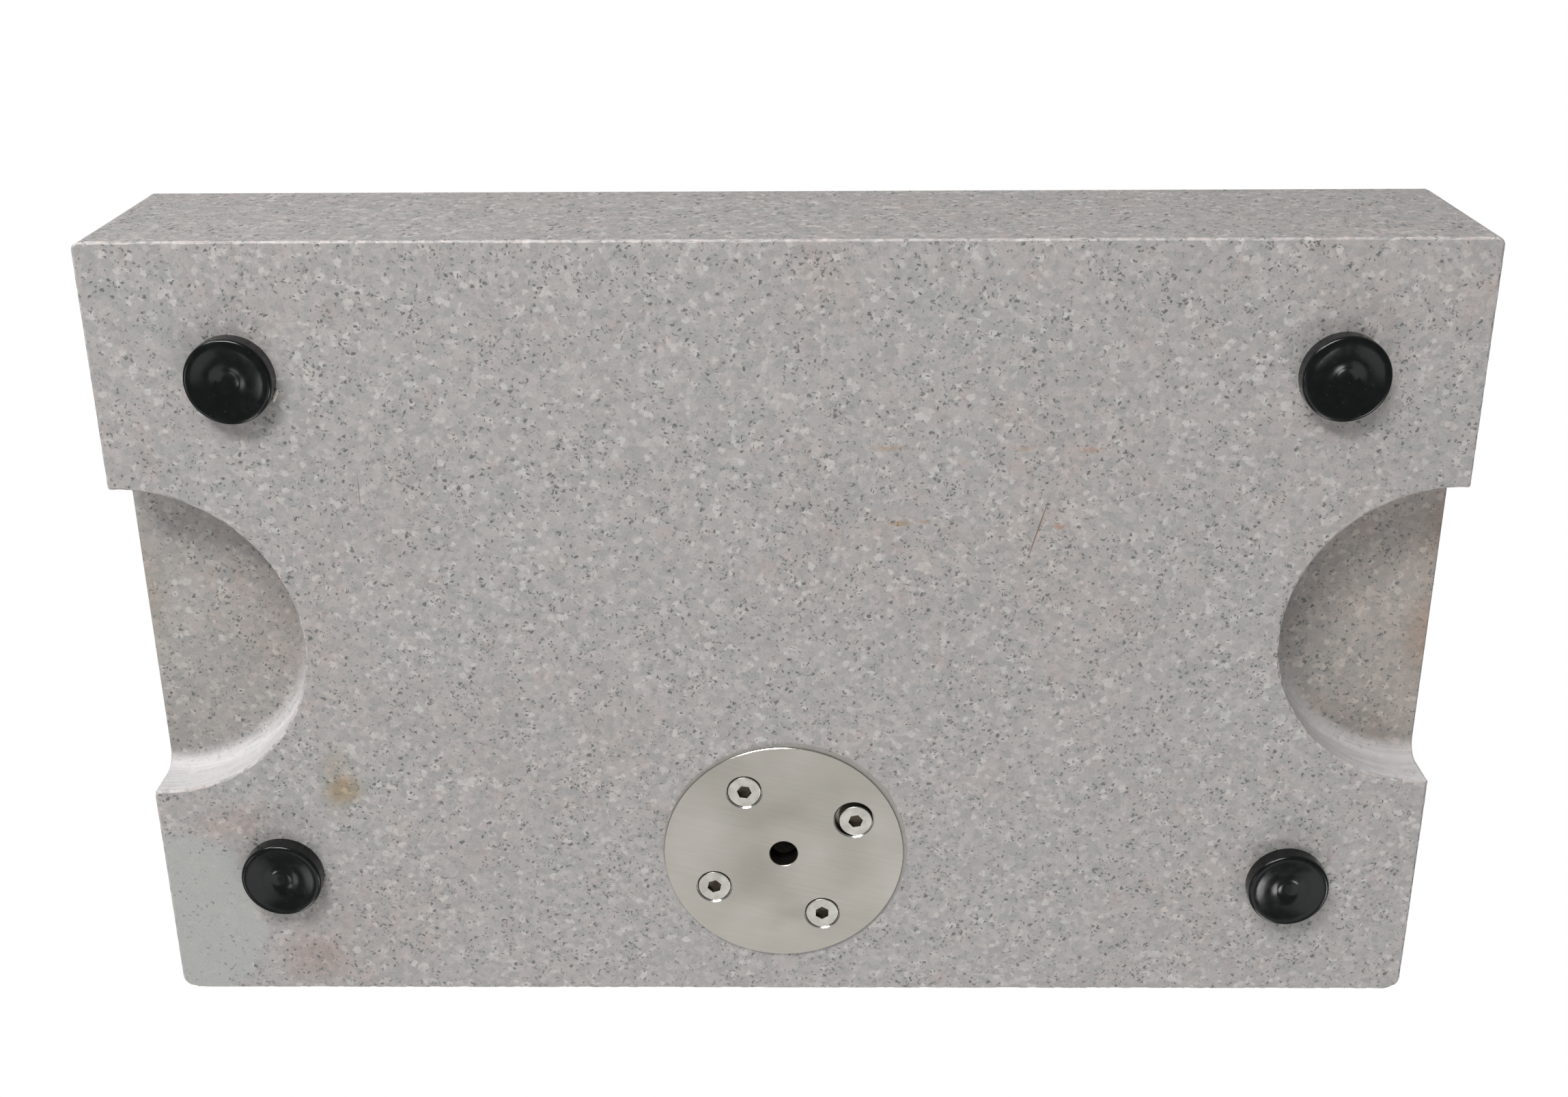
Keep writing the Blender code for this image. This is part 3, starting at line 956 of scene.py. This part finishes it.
def drilled_at(point):
    """How far a point lies on a wall that the core drill left: fully on it, and fading down its fillet.

    The end faces were sawn, so no point of theirs counts, although the mouths cut into them.
    """
    if near(abs(point.x), SLAB_HIGH.x):
        return 0.0
    for _, side, radius, shift in POCKETS:
        inward = radius - flat_distance(point, pocket_centre_x(side), shift)
        if abs(inward) < ON_WALL and SLAB_LOW.z + 0.1 * MM < point.z < POCKET_ROOF_Z:
            return 1.0
        in_fillet = POCKET_ROOF_Z - POCKET_FILLET < point.z < POCKET_ROOF_Z
        if in_fillet and 0.0 < inward < 0.98 * POCKET_FILLET:
            return 1.0 - inward / POCKET_FILLET
    return 0.0


def mark_tool_wear(slab):
    """Marks the arrises, where tools bruise the stone, and the walls of the pockets."""
    bruise = slab.data.attributes.new("bruise", "FLOAT", "POINT")
    for vert, value in zip(slab.data.vertices, bruise.data):
        value.value = 1.0 if is_on_arris(vert.co) else 0.0
    cored = slab.data.attributes.new("cored", "FLOAT", "POINT")
    for vert, value in zip(slab.data.vertices, cored.data):
        value.value = drilled_at(vert.co)


def make_slab():
    slab = add_box("honed_slab", SLAB_LOW, SLAB_HIGH)
    height = SLAB_HIGH.z - SLAB_LOW.z
    for side, radius in ((-1, FRONT_CORNER_RADIUS), (1, REAR_CORNER_RADIUS)):
        select_where(
            slab,
            "EDGE",
            lambda edge: abs(edge.verts[0].co.z - edge.verts[1].co.z) > 0.9 * height
            and edge_centre(edge).y * side > 0,
        )
        bpy.ops.mesh.bevel(offset=radius, segments=CORNER_SEGMENTS, profile=0.5)
        leave_edit()
    for name, side, radius, shift in POCKETS:
        cut_pocket(slab, name, side, radius, shift)
    select_where(slab, "EDGE", lambda edge: edge.is_convex and edge.calc_face_angle() > SHARP_ANGLE)
    bpy.ops.mesh.bevel(offset=ARRIS_WIDTH, segments=ARRIS_SEGMENTS, profile=0.5, clamp_overlap=True)
    leave_edit()
    chip_arrises(slab)
    low = SLAB_LOW.z - CUT_OVERRUN
    x, y = PLATE_CENTRE.x, PLATE_CENTRE.y
    cut(slab, add_cylinder("recess", PLATE_RADIUS + RECESS_GAP, low, RECESS_ROOF_Z, x, y, PLATE_SIDES))
    high = SLAB_HIGH.z + CUT_OVERRUN
    cut(slab, add_cylinder("bolt_bore", BOLT_HOLE_IN_STONE_RADIUS, low, high, x, y, BOLT_HOLE_SIDES))
    for index in range(SCREW_COUNT):
        x, y, _ = middle_of(f"plate_screw_{index + 1}")
        cut(slab, add_cylinder("insert_bore", INSERT_HOLE_RADIUS, low, INSERT_HOLE_END_Z, x, y, HOLE_SIDES))
    mark_tool_wear(slab)
    dress(slab, GRANITE)
    fit(slab, "granite", "granite_slab")


def make_plate():
    """The ground plate with its bolt hole and counterbored screw holes, all edges of its face eased."""
    x, y = PLATE_CENTRE.x, PLATE_CENTRE.y
    plate = add_cylinder("ground_plate", PLATE_RADIUS, PLATE_LOW.z, PLATE_HIGH.z, x, y, PLATE_SIDES)
    low = PLATE_LOW.z - CUT_OVERRUN
    high = PLATE_HIGH.z + CUT_OVERRUN
    seat = PLATE_LOW.z + HEAD_HEIGHT + SEAT_ROOM
    cut(plate, add_cylinder("bolt_bore", BOLT_HOLE_RADIUS, low, high, x, y, BOLT_HOLE_SIDES))
    for index in range(SCREW_COUNT):
        angle = FIRST_SCREW_ANGLE + math.tau * index / SCREW_COUNT
        mark = PLATE_CENTRE + SCREW_CIRCLE_RADIUS * Vector((math.cos(angle), math.sin(angle), 0.0))
        drift = (middle_of(f"plate_screw_{index + 1}") - mark) * Vector((1.0, 1.0, 0.0))
        bore = mark - BORE_PULL * drift
        extra = drift.length
        head_bore = HEAD_RADIUS + HEAD_CLEARANCE + extra
        cut(plate, add_cylinder("counterbore", head_bore, low, seat, bore.x, bore.y, HEAD_SIDES))
        shank_bore = SHANK_RADIUS + SHANK_CLEARANCE + extra
        cut(plate, add_cylinder("shank_bore", shank_bore, low, high, mark.x, mark.y, HOLE_SIDES))
    # The counterbores are eased more than the rim and the bolt hole.
    for nearest, farthest, chamfer in (
        (0.0, 2 * BOLT_HOLE_RADIUS, PLATE_EDGE_CHAMFER),
        (2 * BOLT_HOLE_RADIUS, 0.99 * PLATE_RADIUS, COUNTERBORE_CHAMFER),
        (0.99 * PLATE_RADIUS, 1.01 * PLATE_RADIUS, PLATE_EDGE_CHAMFER),
    ):
        select_where(
            plate,
            "EDGE",
            lambda edge: lies_at(edge, PLATE_LOW.z)
            and edge.calc_face_angle() > SHARP_ANGLE
            and nearest < flat_distance(edge_centre(edge), x, y) < farthest,
        )
        bpy.ops.mesh.bevel(offset=chamfer, segments=1, profile=0.5)
        leave_edit()
    dress(plate, PLATE_STEEL)
    # The walls of the holes get dark steel: painted shade inside them.
    paint_faces(
        plate,
        BORE_SHADE_STEEL,
        lambda face: abs(face.normal.z) < 0.1 and flat_distance(face.center, x, y) < PLATE_RADIUS - 1.0 * MM,
    )
    # Every easing but the bolt hole's
    paint_faces(
        plate,
        BUFFED_STEEL,
        lambda face: -0.97 < face.normal.z < -0.1
        and flat_distance(face.center, x, y) > 2 * BOLT_HOLE_RADIUS,
    )
    fit(plate, "plate_steel", "clamp_plate")


def make_bedding():
    """Grey resin that squeezed out as the plate was bedded, and was wiped level with the stone."""
    x = PLATE_CENTRE.x + BEDDING_SHIFT
    y = PLATE_CENTRE.y - BEDDING_SHIFT
    bedding = add_cylinder(
        "squeezed_bedding", BEDDING_RADIUS, BEDDING_LOW_Z, BEDDING_HIGH_Z, x, y, BEDDING_SIDES
    )
    for direction, size in BEDDING_WAVES:
        wavy = bpy.data.textures.new("wavy_" + direction.lower(), "CLOUDS")
        wavy.noise_scale = size
        apply_modifier(
            bedding,
            "DISPLACE",
            texture=wavy,
            texture_coords="LOCAL",
            direction=direction,
            mid_level=0.5,
            strength=BEDDING_WAVE_REACH,
        )
    x, y = PLATE_CENTRE.x, PLATE_CENTRE.y
    low = BEDDING_LOW_Z - CUT_OVERRUN
    high = BEDDING_HIGH_Z + CUT_OVERRUN
    cut(bedding, add_cylinder("plate_room", PLATE_RADIUS + BEDDING_GAP, low, high, x, y, PLATE_SIDES))
    dress(bedding, BEDDING)
    fit(bedding, "resin")


def make_screw_pattern(length):
    """A low-head socket screw on the vertical axis, its face at height 0 and its shank upwards.

    The thread's turns are level rings, since they sit out of sight in the insert.
    """
    screw = add_cylinder("screw_pattern", HEAD_RADIUS, 0.0, HEAD_HEIGHT, 0.0, 0.0, HEAD_SIDES)
    select_where(screw, "EDGE", lambda edge: near(edge_centre(edge).z, 0.0))
    bpy.ops.mesh.bevel(offset=HEAD_CHAMFER, segments=3, profile=0.5)
    leave_edit()
    select_where(screw, "FACE", lambda face: near(face.calc_center_median().z, HEAD_HEIGHT))
    bpy.ops.mesh.inset(thickness=HEAD_RADIUS - SHANK_RADIUS)
    height = HEAD_HEIGHT + NECK_LENGTH
    bpy.ops.mesh.extrude_region_move(TRANSFORM_OT_translate={"value": (0.0, 0.0, NECK_LENGTH)})
    root = (SHANK_RADIUS - THREAD_DEPTH) / SHANK_RADIUS
    while height + THREAD_PITCH < length - TIP_CHAMFER:
        for scale in (root, 1 / root):
            height += THREAD_PITCH / 2
            bpy.ops.mesh.extrude_region_move(TRANSFORM_OT_translate={"value": (0.0, 0.0, THREAD_PITCH / 2)})
            bpy.ops.transform.resize(value=(scale, scale, 1.0), center_override=(0.0, 0.0, height))
    rest = length - height
    bpy.ops.mesh.extrude_region_move(TRANSFORM_OT_translate={"value": (0.0, 0.0, rest)})
    bpy.ops.transform.resize(value=(root * 0.9, root * 0.9, 1.0), center_override=(0.0, 0.0, length))
    leave_edit()
    socket = add_cylinder("key_socket", SOCKET_RADIUS, -CUT_OVERRUN, SOCKET_DEPTH, 0.0, 0.0, 6)
    select_where(socket, "FACE", lambda face: near(face.calc_center_median().z, SOCKET_DEPTH))
    bpy.ops.mesh.poke(offset=SOCKET_POINT)
    leave_edit()
    cut(screw, socket)
    dress(screw, SCREW_STEEL)
    # The socket's walls get dark brownish steel: partly oxide, partly painted shade deep in the socket.
    paint_faces(
        screw,
        SOCKET_SHADE_STEEL,
        lambda face: flat_distance(face.center, 0.0, 0.0) < SOCKET_RADIUS
        and 0.05 * MM < face.center.z < HEAD_HEIGHT,
    )
    return screw


def make_screws():
    low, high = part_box("plate_screw_1")
    pattern = make_screw_pattern(high.z - low.z)
    for index, turn in enumerate(SOCKET_TURNS):
        node = f"plate_screw_{index + 1}"
        low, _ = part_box(node)
        middle = middle_of(node)
        screw = copied(pattern, f"socket_screw_{index + 1}", (middle.x, middle.y, low.z), turn)
        fit(screw, "screw_steel", node)
    bpy.data.objects.remove(pattern, do_unlink=True)


def make_foot_pattern(radius, height):
    """A moulded foot on the vertical axis: rounded edge, shallow dished face and a dimple in its middle."""
    foot = add_cylinder("foot_pattern", radius, 0.0, height, 0.0, 0.0, FOOT_SIDES)
    select_where(foot, "EDGE", lambda edge: near(edge_centre(edge).z, 0.0))
    bpy.ops.mesh.bevel(offset=FOOT_EDGE_ROUND, segments=5, profile=0.5)
    leave_edit()
    select_where(foot, "FACE", lambda face: face.normal.z < -0.99 and near(face.calc_center_median().z, 0.0))
    for inset, rise in FOOT_FACE:
        bpy.ops.mesh.inset(thickness=inset * MM)
        bpy.ops.transform.translate(value=(0.0, 0.0, rise * MM))
    leave_edit()
    dress(foot, RUBBER)
    return foot


def make_feet():
    low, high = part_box("foot_front_left")
    pattern = make_foot_pattern((high.x - low.x) / 2, SLAB_LOW.z - FOOT_LIFT - low.z)
    for turn, name in enumerate(FOOT_NAMES):
        low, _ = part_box(f"foot_{name}")
        middle = middle_of(f"foot_{name}")
        foot = copied(pattern, f"rubber_foot_{name}", (middle.x, middle.y, low.z), 0.7 * turn)
        fit(foot, "rubber", f"foot_{name}")
    bpy.data.objects.remove(pattern, do_unlink=True)


def make_adhesive_smear():
    """A lump of adhesive that squeezed out from under the front left foot."""
    low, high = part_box("foot_front_left")
    middle = middle_of("foot_front_left")
    reach = (high.x - low.x) / 2 + SMEAR_OUT
    x = middle.x + reach * math.cos(SMEAR_ANGLE)
    y = middle.y + reach * math.sin(SMEAR_ANGLE)
    deselect_everything()
    bpy.ops.mesh.primitive_uv_sphere_add(
        segments=32,
        ring_count=16,
        radius=1.0,
        location=(x, y, SLAB_LOW.z),
        rotation=(0.0, 0.0, SMEAR_ANGLE),
        scale=SMEAR_HALF_SIZES,
    )
    smear = added("adhesive_smear")
    lumps = bpy.data.textures.new("lumps", "CLOUDS")
    lumps.noise_scale = SMEAR_LUMP_SIZE
    apply_modifier(
        smear,
        "DISPLACE",
        texture=lumps,
        texture_coords="LOCAL",
        mid_level=0.5,
        strength=SMEAR_LUMP_HEIGHT,
    )
    dress(smear, ADHESIVE)
    fit(smear, "adhesive")


# Stage


def make_stage():
    deselect_everything()
    bpy.ops.mesh.primitive_plane_add(size=FLOOR_SIZE, location=(0.0, 0.0, FLOOR_Z))
    floor = added("floor")
    floor.data.materials.append(make_board())
    # The room's even light reaches the slab from below too, as if the floor weren't there.
    floor.visible_diffuse = False
    floor.visible_glossy = False
    floor.visible_shadow = False


def add_lamp(name, location, size, power):
    lamp = bpy.data.lights.new(name, "AREA")
    lamp.shape = "DISK"
    lamp.size = size
    lamp.energy = power
    placed = bpy.data.objects.new(name, lamp)
    placed.location = location
    placed.rotation_euler = (LAMP_AIM - Vector(location)).to_track_quat("-Z", "Y").to_euler()
    placed.visible_camera = False
    bpy.context.scene.collection.objects.link(placed)


def add_sky_lamp(name, towards, strength):
    lamp = bpy.data.lights.new(name, "SUN")
    lamp.energy = strength
    lamp.angle = SKY_SPREAD
    placed = bpy.data.objects.new(name, lamp)
    placed.rotation_euler = Vector(towards).to_track_quat("Z", "Y").to_euler()
    bpy.context.scene.collection.objects.link(placed)


def make_light():
    world = bpy.data.worlds.new("studio")
    world.use_nodes = True
    tree = world.node_tree
    white = (1.0, 1.0, 1.0, 1.0)
    backdrop = tree.nodes["Background"]
    backdrop.inputs["Color"].default_value = white
    backdrop.inputs["Strength"].default_value = BACKDROP_STRENGTH
    room = add_node(tree, "ShaderNodeBackground", {"Color": white, "Strength": ROOM_STRENGTH})
    seen = add_node(tree, "ShaderNodeLightPath").outputs["Is Camera Ray"]
    both = add_node(tree, "ShaderNodeMixShader", {}, {0: seen, 1: room, 2: backdrop})
    tree.links.new(result_of(both), tree.nodes["World Output"].inputs["Surface"])
    bpy.context.scene.world = world
    for lamp in LAMPS:
        add_lamp(*lamp)
    for lamp in SKY_LAMPS:
        add_sky_lamp(*lamp)


def make_camera():
    lens = bpy.data.cameras.new("camera")
    lens.lens = LENS
    lens.sensor_width = 36.0
    lens.clip_start = 0.01
    lens.clip_end = 100.0
    camera = bpy.data.objects.new("camera", lens)
    camera.location = CAMERA_PLACE
    camera.rotation_euler = CAMERA_TURN
    bpy.context.scene.collection.objects.link(camera)
    bpy.context.scene.camera = camera


bpy.context.scene.view_settings.view_transform = "Standard"

GRANITE = make_granite()
PLATE_STEEL = make_ground_steel()
BUFFED_STEEL = make_buffed_steel()
# Dark steel for the walls of the plate's holes: painted shade.
BORE_SHADE_STEEL = make_bore_shade_steel("bored stainless steel, painted shade", "3E3A35", "57524B", 0.5)
SCREW_STEEL = make_screw_steel()
# Dark brownish steel for the sockets: partly oxide, partly painted shade.
SOCKET_SHADE_STEEL = make_bore_shade_steel("broached steel, oxide and painted shade", "4E483E", "6E665A", 0.5)
BRASS = make_brass()
RESIN = make_resin("cast epoxy resin", "B5A67C", "CBBD92", 0.4)
BEDDING = make_resin("grey bedding resin", "8B8884", "9A9792", 0.6)
RUBBER = make_rubber()
ADHESIVE = make_adhesive()

make_slab()
make_plate()
make_bedding()
make_screws()
make_feet()
make_adhesive_smear()

# The solids that are kept as they are, by how their names begin
KEPT_SOLIDS = {"screw_insert": BRASS, "insert_resin": RESIN, "foot_pad": ADHESIVE}
for node_name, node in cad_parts.items():
    for beginning, material in KEPT_SOLIDS.items():
        if node_name.startswith(beginning):
            node.data.materials.clear()
            node.data.materials.append(material)

make_stage()
make_light()
make_camera()
